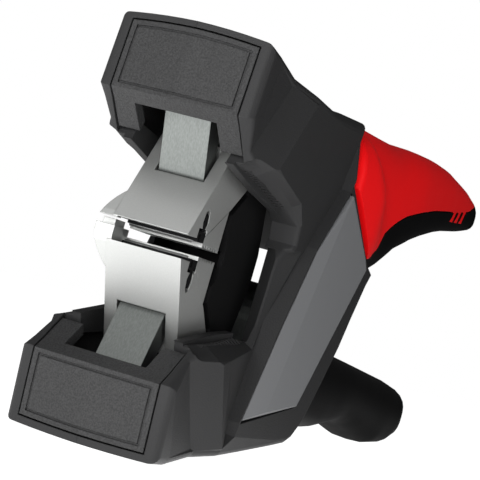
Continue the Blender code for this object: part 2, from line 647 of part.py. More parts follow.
def make_lever():
    sleeve_outline = counter_clockwise(SLEEVE_TOP + SLEEVE_BOTTOM)
    rim = inset(sleeve_outline, 2.6)
    shape = bmesh.new()
    loops = []
    for side in (-1, 1):
        rings = [[(x, side * sleeve_half_width(x, z), z) for x, z in rim],
                 [(x, side * (sleeve_half_width(x, z) - 2.6), z) for x, z in sleeve_outline]]
        loops += rings if side < 0 else list(reversed(rings))
    loops = [[shape.verts.new(p) for p in ring] for ring in loops]
    join_rings(shape, loops)
    cap(shape, loops[0])
    cap(shape, loops[-1])
    pivot = (LEVER_PIVOT[0], 0, LEVER_PIVOT[1])
    sleeve = new_object("lever_sleeve", shape, "lever_plastic", pivot)
    cut(sleeve, block((60.0, -4.4, -24.4), (112.4, 4.4, -13.6)))
    core = new_object("lever_core", prism(circle(LEVER_PIVOT, 6.8, 28), -4.0, 4.0), "brushed_steel", pivot)
    arm = [(62.0, -13.0), (70.0, -14.0), (112.0, -14.0), (112.0, -24.0), (66.0, -24.0), (60.0, -25.0)]
    crank = [(57.5, -8.0), (66.0, -6.0), (66.0, -22.5)] + circle(CRANK_PIN, 3.2, 10, -60.0, -180.0)
    add(core, prism(arm, -4.0, 4.0), prism(crank, -4.0, 4.0))
    cut(core, pin_shape(LEVER_PIVOT, PIVOT_RADIUS + RUNNING, 9.0), pin_shape(CRANK_PIN, PIN_RADIUS + GAP, 9.0),
        block((50.0, -2.4, -30.0), (62.6, 2.4, -17.6)))
    new_object("crank_pin", pin_shape(CRANK_PIN, PIN_RADIUS, 4.0), "plain_steel",
               (CRANK_PIN[0], 0, CRANK_PIN[1]))
    new_object("lever_pivot_pin", pin_shape(LEVER_PIVOT, PIVOT_RADIUS, 14.2, 28), "plain_steel", pivot)


def make_drive_link():
    """From the crank pin to the yoke's pin, where its eye is open: the linkage's loose pivot."""
    outline = (circle(CRANK_PIN, 3.0, 12, -90.0, 90.0) + circle(YOKE_PIN, 3.0, 12, 90.0, 270.0))
    link = new_object("drive_link", prism(outline, -2.0, 2.0), "brushed_steel", (CRANK_PIN[0], 0, CRANK_PIN[1]))
    cut(link, pin_shape(CRANK_PIN, PIN_RADIUS + RUNNING, 4.0), pin_shape(YOKE_PIN, PIN_RADIUS + 0.6, 4.0))


def make_return_spring():
    """A torsion spring's turns round the pivot pin, with a short leg at each end."""
    turns, steps, mean_radius, wire = 2.5, 14, 4.9, 0.5
    curve = bpy.data.curves.new("return_spring", "CURVE")
    curve.dimensions = "3D"
    curve.bevel_depth = wire * MM
    curve.bevel_resolution = 1
    curve.fill_mode = "FULL"
    curve.use_fill_caps = True
    route = []
    for i in range(int(turns * steps) + 1):
        angle = math.radians(90.0 + 360.0 * i / steps)
        route.append((mean_radius * math.cos(angle), -5.0 - 1.15 * i / steps, mean_radius * math.sin(angle)))
    first, last = Vector(route[0]), Vector(route[-1])
    route = [tuple(first + Vector((4.2, 0.0, 0.0)))] + route + [tuple(last + Vector((4.2, 0.0, 0.0)))]
    spline = curve.splines.new("POLY")
    spline.points.add(len(route) - 1)
    for point, place in zip(spline.points, route):
        point.co = (*(Vector(place) * MM), 1.0)
    obj = bpy.data.objects.new("return_spring", curve)
    obj.location = to_world((LEVER_PIVOT[0], 0, LEVER_PIVOT[1]))
    curve.materials.append(material_for("return_spring", "plain_steel"))
    bpy.context.scene.collection.objects.link(obj)


def main():
    clear_scene()
    make_casing()
    make_front_inserts()
    make_labels()
    make_handle()
    make_screws()
    make_links()
    make_yoke()
    make_jaws()
    make_carriage()
    make_guides()
    make_length_stop()
    make_lever()
    make_drive_link()
    make_return_spring()


main()
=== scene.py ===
import json
import math

import bmesh
import bpy
from mathutils import Matrix, Vector
from mathutils.geometry import delaunay_2d_cdt


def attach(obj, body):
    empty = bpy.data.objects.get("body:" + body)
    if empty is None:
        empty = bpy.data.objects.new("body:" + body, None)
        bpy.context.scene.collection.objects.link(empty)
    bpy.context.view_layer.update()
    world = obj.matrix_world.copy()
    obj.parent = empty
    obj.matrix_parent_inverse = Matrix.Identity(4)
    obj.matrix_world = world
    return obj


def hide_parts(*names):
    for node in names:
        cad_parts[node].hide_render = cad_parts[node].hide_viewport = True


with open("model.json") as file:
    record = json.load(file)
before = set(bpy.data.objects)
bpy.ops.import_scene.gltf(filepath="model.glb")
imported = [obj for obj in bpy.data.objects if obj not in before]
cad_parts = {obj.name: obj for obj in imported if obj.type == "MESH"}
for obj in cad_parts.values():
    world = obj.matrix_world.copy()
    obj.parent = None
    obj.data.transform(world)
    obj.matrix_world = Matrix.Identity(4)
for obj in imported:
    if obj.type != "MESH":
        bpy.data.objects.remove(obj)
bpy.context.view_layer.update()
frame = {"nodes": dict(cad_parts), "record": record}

# Shapes are drawn in the tool's own millimetres: X back from the mouth edge of the front faces,
# Y across the tool, Z up from the middle of the mouth.
MM = 0.001
ORIGIN = Vector((-90.0, 0.0, 37.4)) * MM
SIDES = ((-1, "left"), (1, "right"))
LEVELS = ((1, "upper"), (-1, "lower"))
GAP = 0.3                    # clearance round a part that sits in a recess
OUTSIDE = 20.0               # a Y clear of the tool's side, where the side cutters end
PAST_MIDDLE = 1.0            # how far a half's cutters run past the middle plane
HALF_GAP = 0.01              # how far each casing half stops short of the middle plane

# Half widths: how far each face stands from the middle plane.
FRONT_HALF_WIDTH = 15.0
TAPER_HALF_WIDTH = 13.8
BAND_HALF_WIDTH = 16.4
FLANGE_HALF_WIDTH = 14.7
SPINE_HALF_WIDTH = 16.4
LABEL_HALF_WIDTH = 17.1
MOUTH_RIM_HALF_WIDTH = 12.8
SLOT_HALF_WIDTH = 9.3
INSERT_HALF_WIDTH = 12.2
POCKET_HALF_WIDTH = 11.2

SCREW_HEAD_RADIUS = 2.3
SOCKET_RADIUS = 1.1
FRAME_SCREWS = [(33.0, 21.4), (33.0, -21.4)]
HANDLE_SCREWS = [(84.0, 24.0), (121.0, 31.0)]

FRONT_FOLD = 0.9             # how far the front faces fall back from the middle to the sides
CROWN = (0.45, 1.0)          # how far the lower and upper arms' outer faces fall at the sides
TOP_LIFT = 0.7               # how far the upper arm's top rises in the middle
FOLD_FADE_X = (3.0, 9.0)     # the X over which the fold fades out
FOLD_FADE_Z = (15.0, 22.0)   # the distance from the mouth's middle over which it comes in
CROWN_FADE_X = (20.0, 46.0)
CROWN_FADE_Z = (28.0, 33.0)
CUT_PLANES = ((0, (3.0, 6.0, 9.0)), (1, tuple(3.0 * i for i in range(-4, 5))),
              (2, (-33.0, -28.0, -22.0, -18.5, 18.5, 22.0, 28.0, 33.0)))

ARC_STEPS = 5                # faces round a casing's edge
SECTION_STEPS = 14           # faces up one side of a lofted section
CREASE_FACING = 0.5          # the least |Y| of a normal that counts as facing across the tool
CREASE_ANGLE = math.radians(4.0)
PLASTIC_EDGE_MM = 0.25       # the radius that the shader rounds edges by
METAL_EDGE_MM = 0.2


# ---- mesh helpers ----

def loop_edges(count):
    return [(i, (i + 1) % count) for i in range(count)]


def flat_triangles(outline):
    points = [Vector(p) for p in outline]
    around = [list(range(len(points)))]
    _, _, faces, sources, _, _ = delaunay_2d_cdt(points, loop_edges(len(points)), around, 1, 1e-6)
    return [[sources[i][0] for i in face] for face in faces]


def cap(shape, ring):
    """Closes a ring of vertices that lie in one plane across the tool."""
    for corners in flat_triangles([(vert.co.x, vert.co.z) for vert in ring]):
        shape.faces.new([ring[i] for i in corners])


def join_rings(shape, rings):
    for lower, upper in zip(rings, rings[1:]):
        for i in range(len(lower)):
            shape.faces.new((lower[i - 1], lower[i], upper[i], upper[i - 1]))


def prism(outline, y_low, y_high):
    shape = bmesh.new()
    rings = [[shape.verts.new((x, y, z)) for x, z in outline] for y in (y_low, y_high)]
    join_rings(shape, rings)
    for ring in rings:
        cap(shape, ring)
    return shape


def block(low, high):
    (x0, y0, z0), (x1, y1, z1) = low, high
    return prism([(x0, z0), (x1, z0), (x1, z1), (x0, z1)], y0, y1)


def circle(center, radius, steps=32):
    angles = [math.tau * i / steps for i in range(steps)]
    return [(center[0] + radius * math.cos(a), center[1] + radius * math.sin(a)) for a in angles]


def mirrored(outline):
    return [(x, -z) for x, z in outline]


def on_side(outline, side):
    return outline if side > 0 else mirrored(outline)


def crowned(shape):
    """Folds the arms' front faces at the middle and crowns their outer faces across the tool."""
    for vert in shape.verts:
        out = min(1.0, abs(vert.co.y) / FRONT_HALF_WIDTH)
        front = 1.0 - between(vert.co.x, *FOLD_FADE_X)
        arm = between(abs(vert.co.z), *FOLD_FADE_Z)
        vert.co.x += FRONT_FOLD * out * front * arm
        outer = between(abs(vert.co.z), *CROWN_FADE_Z) * (1.0 - between(vert.co.x, *CROWN_FADE_X))
        upper = vert.co.z > 0
        lift = TOP_LIFT if upper else 0.0
        outward = 1.0 if upper else -1.0
        vert.co.z += outward * outer * (lift - CROWN[upper] * out * out)
    return shape


def to_frame(shape):
    """Moves a bmesh from tool millimetres into the frame's metres."""
    for vert in shape.verts:
        vert.co = vert.co * MM + ORIGIN


def to_mesh(name, shape):
    """The bmesh as a mesh in the frame, with its normals outward."""
    to_frame(shape)
    bmesh.ops.recalc_face_normals(shape, faces=shape.faces)
    mesh = bpy.data.meshes.new(name)
    shape.to_mesh(mesh)
    shape.free()
    return mesh


def crisp_facets(mesh):
    """Sharpens shallow creases between facets that face across the tool, not the round rims."""
    shape = bmesh.new()
    shape.from_mesh(mesh)
    for edge in shape.edges:
        if len(edge.link_faces) == 2:
            flat = all(abs(face.normal.y) > CREASE_FACING for face in edge.link_faces)
            if flat and edge.calc_face_angle(0.0) > CREASE_ANGLE:
                edge.smooth = False
    shape.to_mesh(mesh)
    shape.free()


def reshape(obj, bend):
    """Bends a finished mesh, first cut along planes so that flat faces have points to move."""
    shape = bmesh.new()
    shape.from_mesh(obj.data)
    for vert in shape.verts:
        vert.co = (vert.co - ORIGIN) / MM
    for axis, places in CUT_PLANES:
        normal = [0.0, 0.0, 0.0]
        normal[axis] = 1.0
        for place in places:
            point = [place * n for n in normal]
            everything = shape.verts[:] + shape.edges[:] + shape.faces[:]
            bmesh.ops.bisect_plane(shape, geom=everything, dist=1e-4, plane_co=point,
                                   plane_no=normal)
    bend(shape)
    to_frame(shape)
    shape.to_mesh(obj.data)
    shape.free()


def raw_object(name, shape):
    obj = bpy.data.objects.new(name, to_mesh(name, shape))
    bpy.context.scene.collection.objects.link(obj)
    return obj


def apply_booleans(obj, steps):
    """Adds or cuts each (operation, bmesh) in turn, and leaves a plain mesh."""
    helpers = []
    for operation, part in steps:
        helper = raw_object(f"helper_{len(helpers)}", part)
        helpers.append(helper)
        modifier = obj.modifiers.new("shape", "BOOLEAN")
        modifier.operation = operation
        modifier.solver = "EXACT"
        modifier.object = helper
    bpy.context.view_layer.update()
    graph = bpy.context.evaluated_depsgraph_get()
    final = bpy.data.meshes.new_from_object(obj.evaluated_get(graph))
    obj.modifiers.clear()
    obj.data = final
    for helper in helpers:
        bpy.data.objects.remove(helper, do_unlink=True)


def piece(name, shape, slot, body, replaced=(), cutters=(), additions=(), angle=32.0, bend=None):
    """A finished piece: Booleans applied, smooth but for its edges, with its slot's material."""
    obj = raw_object(name, shape)
    steps = [("UNION", part) for part in additions] + [("DIFFERENCE", part) for part in cutters]
    if steps:
        apply_booleans(obj, steps)
    if bend:
        reshape(obj, bend)
    obj.data.materials.clear()
    obj.data.materials.append(MATERIALS[slot])
    obj.data.shade_smooth()
    obj.data.set_sharp_from_angle(angle=math.radians(angle))
    if slot in ("casing_plastic", "label_grey"):
        crisp_facets(obj.data)
    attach(obj, body)
    if replaced:
        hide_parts(*replaced)
    return obj


def inset(outline, distance):
    """The outline moved inward; distance(x, z) says how far at each corner."""
    result = []
    count = len(outline)
    for i, (x, z) in enumerate(outline):
        before = Vector(outline[i]) - Vector(outline[i - 1])
        after = Vector(outline[(i + 1) % count]) - Vector(outline[i])
        normal_a = Vector((-before.y, before.x)).normalized()
        normal_b = Vector((-after.y, after.x)).normalized()
        middle = (normal_a + normal_b).normalized()
        reach = distance(x, z) / max(0.45, middle.dot(normal_a))
        result.append((x + middle.x * reach, z + middle.y * reach))
    return result


def counter_clockwise(outline):
    area = sum(outline[i - 1][0] * z - x * outline[i - 1][1] for i, (x, z) in enumerate(outline))
    return list(outline) if area > 0 else list(reversed(outline))


def order_ring(edges):
    """The vertices of a closed ring of edges, in order."""
    links = {}
    for edge in edges:
        for vert in edge.verts:
            links.setdefault(vert, []).append(edge.other_vert(vert))
    ring = [edges[0].verts[0], edges[0].verts[1]]
    while len(ring) < len(links):
        ring.append([vert for vert in links[ring[-1]] if vert != ring[-2]][0])
    return ring


def nearest_segment(here, rim):
    """(index, fraction along it) of the rim's segment that lies nearest."""
    best = None
    for i in range(len(rim)):
        a, b = Vector(rim[i]), Vector(rim[(i + 1) % len(rim)])
        along = b - a
        t = min(1.0, max(0.0, (here - a).dot(along) / along.length_squared))
        distance = (a + along * t - here).length
        if best is None or distance < best[0]:
            best = (distance, i, t)
    return best[1], best[2]


def half_shell(outline, side, y_inner, rim_shape, half_width, creases=()):
    """One side of a casing. rim_shape(x, z) gives its edge's reach, drop and whether it's round."""
    outline = counter_clockwise(outline)
    rim = inset(outline, lambda x, z: rim_shape(x, z)[0])
    points = [Vector(p) for p in rim]
    edges = loop_edges(len(rim))
    for line in creases:
        start = len(points)
        points += [Vector(p) for p in line]
        edges += [(start + i, start + i + 1) for i in range(len(line) - 1)]
    flat, _, faces, _, _, _ = delaunay_2d_cdt(points, edges, [list(range(len(rim)))], 1, 1e-5)
    shape = bmesh.new()
    top = [shape.verts.new((p.x, side * half_width(p.x, p.y), p.y)) for p in flat]
    for face in faces:
        shape.faces.new([top[i] for i in face])
    ring = order_ring([edge for edge in shape.edges if len(edge.link_faces) == 1])
    spots = []
    for vert in ring:
        index, t = nearest_segment(Vector((vert.co.x, vert.co.z)), rim)
        a, b = Vector(outline[index]), Vector(outline[(index + 1) % len(outline)])
        spots.append((Vector((vert.co.x, vert.co.z)), a.lerp(b, t)))
    rings = [ring]
    for step in range(1, ARC_STEPS + 1):
        turn = math.pi / 2 * step / ARC_STEPS
        rings.append([])
        for inner, outer in spots:
            _, drop, rounded = rim_shape(outer.x, outer.y)
            along = down = step / ARC_STEPS
            if rounded:
                along, down = math.sin(turn), 1.0 - math.cos(turn)
            spot = inner.lerp(outer, along)
            y = side * (half_width(inner.x, inner.y) - drop * down)
            rings[-1].append(shape.verts.new((spot.x, y, spot.y)))
    rings.append([shape.verts.new((outer.x, y_inner, outer.y)) for _, outer in spots])
    join_rings(shape, rings)
    cap(shape, rings[-1])
    return shape


def between(value, low, high):
    """How far a value is from low to high, as 0 to 1."""
    return min(1.0, max(0.0, (value - low) / (high - low)))


def mix(start, end, amount):
    return start + (end - start) * amount


def line_x(line, z):
    """The X of a line of points at a Z, run on straight past its last point."""
    points = sorted(line, key=lambda p: p[1])
    for a, b in zip(points, points[1:]):
        if z <= b[1] or b is points[-1]:
            return a[0] + (b[0] - a[0]) * (z - a[1]) / (b[1] - a[1])


def smooth_z(line, x, reach=2.4):
    """The Z of a line of points at an X, with its corners eased over a short reach."""
    points = sorted(line)

    def straight(at):
        at = min(max(at, points[0][0]), points[-1][0])
        for a, b in zip(points, points[1:]):
            if at <= b[0]:
                return a[1] + (b[1] - a[1]) * (at - a[0]) / (b[0] - a[0])
        return points[-1][1]

    return sum(straight(x + reach * k / 3.0) for k in range(-3, 4)) / 7.0


# ---- materials ----

def grained(name, color, roughness, grain_mm, bump_mm, specular, tone):
    """Moulded plastic: a fine grain in the normal, uneven gloss, and soft edges."""
    material, tree, shader = blank(name, color, roughness, 0.0)
    shader.inputs["Specular IOR Level"].default_value = specular
    place = tree.nodes.new("ShaderNodeTexCoord")
    grain = noise(tree, place, 1.0 / (grain_mm * MM), 2.0)
    drift = noise(tree, place, 90.0, 2.0)
    vary_roughness(tree, shader, drift, roughness, 0.07)
    if tone:
        vary_color(tree, shader, grain, color, tone)
    bump(tree, shader, grain, bump_mm, PLASTIC_EDGE_MM)
    return material


def steel(name, color, roughness, stretch, scale, bump_mm, tone):
    """Metal with a brushed or blasted face: noise drawn out along one axis."""
    material, tree, shader = blank(name, color, roughness, 1.0)
    place = tree.nodes.new("ShaderNodeTexCoord")
    mapping = tree.nodes.new("ShaderNodeMapping")
    mapping.inputs["Scale"].default_value = stretch
    tree.links.new(place.outputs["Object"], mapping.inputs["Vector"])
    lines = noise(tree, mapping, scale, 3.0, "Vector")
    drift = noise(tree, place, 120.0, 2.0)
    vary_color(tree, shader, lines, color, tone)
    vary_roughness(tree, shader, drift, roughness, 0.04)
    bump(tree, shader, lines, bump_mm, METAL_EDGE_MM)
    return material


def blank(name, color, roughness, metallic):
    material = bpy.data.materials.new(name)
    material.use_nodes = True
    shader = material.node_tree.nodes["Principled BSDF"]
    shader.inputs["Base Color"].default_value = (*color, 1.0)
    shader.inputs["Roughness"].default_value = roughness
    shader.inputs["Metallic"].default_value = metallic
    return material, material.node_tree, shader


def noise(tree, source, scale, detail, socket="Object"):
    node = tree.nodes.new("ShaderNodeTexNoise")
    node.inputs["Scale"].default_value = scale
    node.inputs["Detail"].default_value = detail
    tree.links.new(source.outputs[socket], node.inputs["Vector"])
    return node


def vary_color(tree, shader, source, color, amount):
    ramp = tree.nodes.new("ShaderNodeValToRGB")
    ramp.color_ramp.elements[0].position = 0.32
    ramp.color_ramp.elements[1].position = 0.68
    ramp.color_ramp.elements[0].color = (*[c * (1.0 - amount) for c in color], 1.0)
    ramp.color_ramp.elements[1].color = (*[c * (1.0 + amount) for c in color], 1.0)
    tree.links.new(source.outputs["Fac"], ramp.inputs["Fac"])
    tree.links.new(ramp.outputs["Color"], shader.inputs["Base Color"])


def vary_roughness(tree, shader, source, middle, swing):
    span = tree.nodes.new("ShaderNodeMapRange")
    span.inputs["To Min"].default_value = middle - swing
    span.inputs["To Max"].default_value = middle + swing
    tree.links.new(source.outputs["Fac"], span.inputs["Value"])
    tree.links.new(span.outputs["Result"], shader.inputs["Roughness"])


def bump(tree, shader, source, depth_mm, edge_mm):
    relief = tree.nodes.new("ShaderNodeBump")
    relief.inputs["Strength"].default_value = 0.9
    relief.inputs["Distance"].default_value = depth_mm * MM
    tree.links.new(source.outputs["Fac"], relief.inputs["Height"])
    soft = tree.nodes.new("ShaderNodeBevel")
    soft.samples = 4
    soft.inputs["Radius"].default_value = edge_mm * MM
    tree.links.new(soft.outputs["Normal"], relief.inputs["Normal"])
    tree.links.new(relief.outputs["Normal"], shader.inputs["Normal"])


# name, colour, roughness, grain in mm, bump in mm, specular level, how far the tone varies
PLASTICS = (
    ("casing_plastic", (0.022, 0.022, 0.0225), 0.5, 0.30, 0.05, 0.12, 0.0),
    ("insert_plastic", (0.024, 0.024, 0.0245), 0.6, 0.30, 0.08, 0.2, 0.35),
    ("label_grey", (0.15, 0.153, 0.158), 0.5, 0.5, 0.006, 0.12, 0.0),
    ("handle_red", (0.90, 0.005, 0.007), 0.40, 0.6, 0.008, 0.10, 0.0),
    ("soft_grip", (0.003, 0.003, 0.0032), 0.6, 0.4, 0.012, 0.03, 0.0),
    ("lever_plastic", (0.003, 0.003, 0.0032), 0.34, 0.8, 0.006, 0.05, 0.0),
    ("carriage_black", (0.005, 0.005, 0.0052), 0.55, 0.4, 0.015, 0.05, 0.0),
)
# name, colour, roughness, stretch of the noise, its scale, bump in mm, how far the tone varies
METALS = (
    ("satin_steel", (0.45, 0.456, 0.447), 0.5, (1.0, 1.0, 1.0), 5200.0, 0.0015, 0.035),
    ("brushed_steel", (0.15, 0.159, 0.153), 0.46, (14.0, 14.0, 1.0), 300.0, 0.003, 0.12),
    ("plain_steel", (0.40, 0.40, 0.40), 0.32, (1.0, 1.0, 6.0), 900.0, 0.004, 0.08),
)
MATERIALS = {row[0]: grained(*row) for row in PLASTICS}
MATERIALS.update({row[0]: steel(*row) for row in METALS})

# ---- casing ----

# Outlines are lists of (X, Z). The upper arm's, where they serve both arms, are mirrored below.
UPPER_ARM_TOP = [(1.5, 37.2), (8.5, 36.4), (18.8, 34.5), (26.9, 33.4), (38.0, 32.8), (46.0, 33.6),
                 (60.3, 34.5)]
UPPER_ARM_MOUTH = [(0.0, 23.5), (6.7, 18.4), (8.1, 17.3), (9.4, 16.2), (14.6, 15.5), (20.0, 14.8),
                   (33.0, 12.2), (37.2, 10.0), (38.2, 6.6), (37.5, 5.4), (37.2, 5.0), (36.2, 3.0)]
LOWER_ARM_MOUTH = [(36.0, -3.0), (35.4, -9.5), (33.0, -12.2), (20.0, -14.8), (14.6, -15.5),
                   (9.4, -16.2), (8.1, -17.3), (6.7, -18.4), (0.0, -23.5)]
INNER_LIP = [(5.0, 19.5), (5.0, 16.6), (21.5, 13.2), (36.0, 11.2), (41.0, 10.8), (44.0, 19.5)]
LOWER_ARM_BOTTOM = [(1.6, -37.4), (8.0, -37.4), (19.7, -35.7), (27.8, -34.6), (52.7, -31.0),
                    (58.6, -30.2), (61.6, -29.0)]
BODY_REAR = [(65.6, -25.6), (70.4, -17.5), (74.8, -9.5), (77.2, -3.5), (80.6, 4.0), (82.8, 7.3)]
HANDLE_JOINT = [(78.0, 9.0), (57.6, 22.0)]
BAND_FRONT = [(6.1, 17.5), (18.4, 34.0)]
BAND_BACK = [(15.7, 17.0), (27.0, 33.4)]
SPINE_EDGE_FRONT = [(58.7, 34.4), (54.1, 20.3), (44.4, 7.4), (37.3, -8.5), (29.9, -27.4),
                    (28.8, -33.5)]
SPINE_EDGE_BACK = [(60.0, 34.4), (55.4, 20.3), (45.7, 7.4), (38.6, -8.5), (31.4, -27.4),
                   (30.2, -33.5)]
LABEL_FRONT = [(31.9, -27.6), (39.1, -8.5), (46.2, 7.4), (55.9, 20.3)]
LABEL_CREASE = [(41.4, -24.6), (49.4, 1.0), (54.6, 16.6)]
LABEL_OUTLINE = [(57.3, -22.9), (76.1, 7.5), (73.6, 9.7)] + LABEL_FRONT[::-1]
LABEL_POCKET_DEPTH = 0.8
LABEL_BEVEL_DEPTH = 0.8

SERRATIONS = 14
SERRATION_START, SERRATION_PITCH = 13.0, 1.45

ARM_POCKET = [(-1.0, 24.0), (3.0, 20.4), (40.0, 15.6), (46.0, 15.6), (52.0, 30.4), (28.0, 30.6),
              (19.3, 31.8), (8.5, 33.8), (-1.0, 34.6)]
SPINE_POCKET = [(45.5, 30.0), (60.0, 31.8), (56.5, 21.0), (77.0, 7.4), (82.0, 6.4), (90.0, 6.4),
                (73.0, -24.0), (66.0, -30.5), (60.0, -28.9), (45.5, -29.8)]
SPINE_WALL = 3.1
SLOT_BLOCKS = ((7.0, 10.0, 22.0), (7.0, -22.0, -10.0), (30.0, -22.0, 22.0))
SLOT_BACK = 60.0
INSERT_RECESS = [(-3.0, 21.0), (-3.0, 36.1), (3.8, 36.1), (3.8, 23.8), (10.4, 19.2), (8.6, 16.0),
                 (6.0, 16.0)]
MOUTH_SLANT = [(30.0, 9.0), (39.2, 9.3), (36.4, 12.4), (30.0, 12.4)]    # (X, Y) in plan

PANEL_PROFILE = [(0.0, 23.6), (1.35, 35.8), (3.4, 35.5), (2.3, 24.6), (9.2, 19.6), (8.1, 17.7)]
LINK_WINDOW = [(2.6, 21.7), (8.4, 12.0), (12.0, 12.0), (12.0, 26.0), (4.2, 23.6)]
PANEL_LEAN = 0.1107          # X gained per mm of Z up the panel's front
GROOVE_HALF_WIDTH = 0.22
SIDE_GROOVE = [(-0.5, 24.6), (0.46, 24.6), (1.52, 34.9), (-0.5, 34.9)]


def casing_rim(x, z):
    """(reach, drop, rounded): a flat chamfer along the mouth, tight at its ends, else round."""
    if abs(z) < 18.0 and 8.5 < x < 34.0:
        return 2.0, 3.2, False
    if abs(z) < 20.0 and x < 44.0:
        return 0.8, 0.8, True
    return (2.4, 2.4, True) if x > 45.0 and z > 30.0 else (1.4, 1.4, True)


def casing_half_width(x, z):
    """The side face's facets: front taper, rise to the band, arm, mouth rim, flange and spine."""
    front, back = line_x(BAND_FRONT, abs(z)), line_x(BAND_BACK, abs(z))
    flange, label = line_x(SPINE_EDGE_FRONT, z), line_x(SPINE_EDGE_BACK, z)
    if x < front:
        return mix(FRONT_HALF_WIDTH, TAPER_HALF_WIDTH, between(x, 1.5, front))
    if x < back and abs(z) > 12.0:
        return mix(TAPER_HALF_WIDTH, BAND_HALF_WIDTH, between(x, front, back))
    if x > flange:
        return mix(FLANGE_HALF_WIDTH, SPINE_HALF_WIDTH, between(x, flange, label))
    width = mix(BAND_HALF_WIDTH, FLANGE_HALF_WIDTH, between(x, back, flange))
    behind, above = 1.0 - between(x, 36.6, 41.0), 1.0 - between(z, 5.0, 5.4)
    narrow = behind * above * between(z, -16.0, -12.0)
    return width - narrow * (width - MOUTH_RIM_HALF_WIDTH)


def crease_lines():
    """Where the side face's facets meet."""
    lines = []
    for side in (1, -1):
        for line, low, high in ((BAND_FRONT, 19.4, 32.8), (BAND_BACK, 17.8, 31.7)):
            high += 0.0 if side > 0 else 1.2
            lines.append([(line_x(line, low), side * low), (line_x(line, high), side * high)])
    lines.append([(57.7, 31.8)] + SPINE_EDGE_FRONT[1:-1] + [(29.4, -30.0)])
    lines.append([(59.2, 32.0)] + SPINE_EDGE_BACK[1:-1] + [(31.0, -30.2)])
    lines.append([(38.4, 5.4), (42.6, 6.6)])
    lines.append([(38.0, 5.0), (42.4, 6.2)])
    return lines


def serrations(side):
    """Small notches along the mouth edge of each arm."""
    edge = [(z, x) for x, z in UPPER_ARM_MOUTH[3:7]]    # swapped, so that line_x gives a Z
    notches = []
    for level, _ in LEVELS:
        for i in range(SERRATIONS):
            x = SERRATION_START + SERRATION_PITCH * i
            z = line_x(edge, x)
            low, high = sorted((side * 11.1, side * 12.7))
            low_z, high_z = sorted((level * (z - 0.3), level * (z + 0.9)))
            notches.append(block((x - 0.4, low, low_z), (x + 0.4, high, high_z)))
    return notches


def upright(outline, z_low, z_high):
    """A prism drawn in plan, as X and Y, and raised along Z."""
    shape = prism(outline, z_low, z_high)
    for vert in shape.verts:
        vert.co = (vert.co.x, vert.co.z, vert.co.y)
    return shape


def casing_cutters(side):
    near, far, slot = -side * PAST_MIDDLE, side * POCKET_HALF_WIDTH, side * SLOT_HALF_WIDTH
    cutters = [prism(ARM_POCKET, near, far), prism(mirrored(ARM_POCKET), near, far),
               prism(SPINE_POCKET, near, side * (SPINE_HALF_WIDTH - SPINE_WALL))]
    for x, low, high in SLOT_BLOCKS:
        cutters.append(block((x, near, low), (SLOT_BACK, slot, high)))
    cutters.append(prism(LABEL_OUTLINE, side * (SPINE_HALF_WIDTH - LABEL_POCKET_DEPTH),
                         side * OUTSIDE))
    if side > 0:
        cutters += [prism(circle(spot, SCREW_HEAD_RADIUS + GAP), 12.9, OUTSIDE)
                    for spot in FRAME_SCREWS]
    for level, _ in LEVELS:
        cutters.append(prism(on_side(INSERT_RECESS, level), near, side * (INSERT_HALF_WIDTH + GAP)))
    cutters += serrations(side)
    cutters.append(upright([(x, side * y) for x, y in MOUTH_SLANT], -13.0, 5.0))
    return cutters


def make_casing():
    outline = (UPPER_ARM_MOUTH + LOWER_ARM_MOUTH + LOWER_ARM_BOTTOM + BODY_REAR + HANDLE_JOINT
               + list(reversed(UPPER_ARM_TOP)))
    for side, hand in SIDES:
        shape = half_shell(outline, side, side * HALF_GAP, casing_rim, casing_half_width,
                           crease_lines())
        low, high = sorted((side * SLOT_HALF_WIDTH, side * 11.0))
        lips = [prism(on_side(INNER_LIP, level), low, high) for level, _ in LEVELS]
        piece(f"casing_{hand}", shape, "casing_plastic", "frame", [f"frame_shell_{hand}"],
              casing_cutters(side), lips, bend=crowned)


def make_front_inserts():
    """A framed panel over each arm's front, with the link's window in the ramp under it."""
    for level, word in LEVELS:
        shape = prism(on_side(PANEL_PROFILE, level), -INSERT_HALF_WIDTH, INSERT_HALF_WIDTH)
        cutters = [prism(on_side(LINK_WINDOW, level), -8.0, 8.0)]
        for y in (-11.0, 11.0):
            cutters.append(prism(on_side(SIDE_GROOVE, level), y - GROOVE_HALF_WIDTH,
                                 y + GROOVE_HALF_WIDTH))
        for z in (24.6, 34.7):
            x = 0.1 + (z - PANEL_PROFILE[0][1]) * PANEL_LEAN + 0.34
            bar = [(-0.5, z - GROOVE_HALF_WIDTH), (x, z - GROOVE_HALF_WIDTH),
                   (x, z + GROOVE_HALF_WIDTH), (-0.5, z + GROOVE_HALF_WIDTH)]
            cutters.append(prism(on_side(bar, level), -11.2, 11.2))
        piece(f"front_panel_{word}", shape, "insert_plastic", "frame", [f"{word}_front_insert"],
              cutters, angle=5.0, bend=crowned)


def make_labels():
    """A plain grey plate with a wide bevel along its front edge."""
    def height(x, z):
        bevel = between(x, line_x(LABEL_FRONT, z), line_x(LABEL_CREASE, z) - 0.1)
        return LABEL_HALF_WIDTH - LABEL_BEVEL_DEPTH * (1.0 - bevel)

    for side, hand in SIDES:
        plate = inset(counter_clockwise(LABEL_OUTLINE), lambda x, z: 0.45)
        shape = half_shell(plate, side, side * (SPINE_HALF_WIDTH - 0.5),
                           lambda x, z: (0.3, 0.3, True), height, [LABEL_CREASE])
        piece(f"side_plate_{hand}", shape, "label_grey", "frame", [f"label_plate_{hand}"],
              angle=4.0)


# ---- handle and lever ----

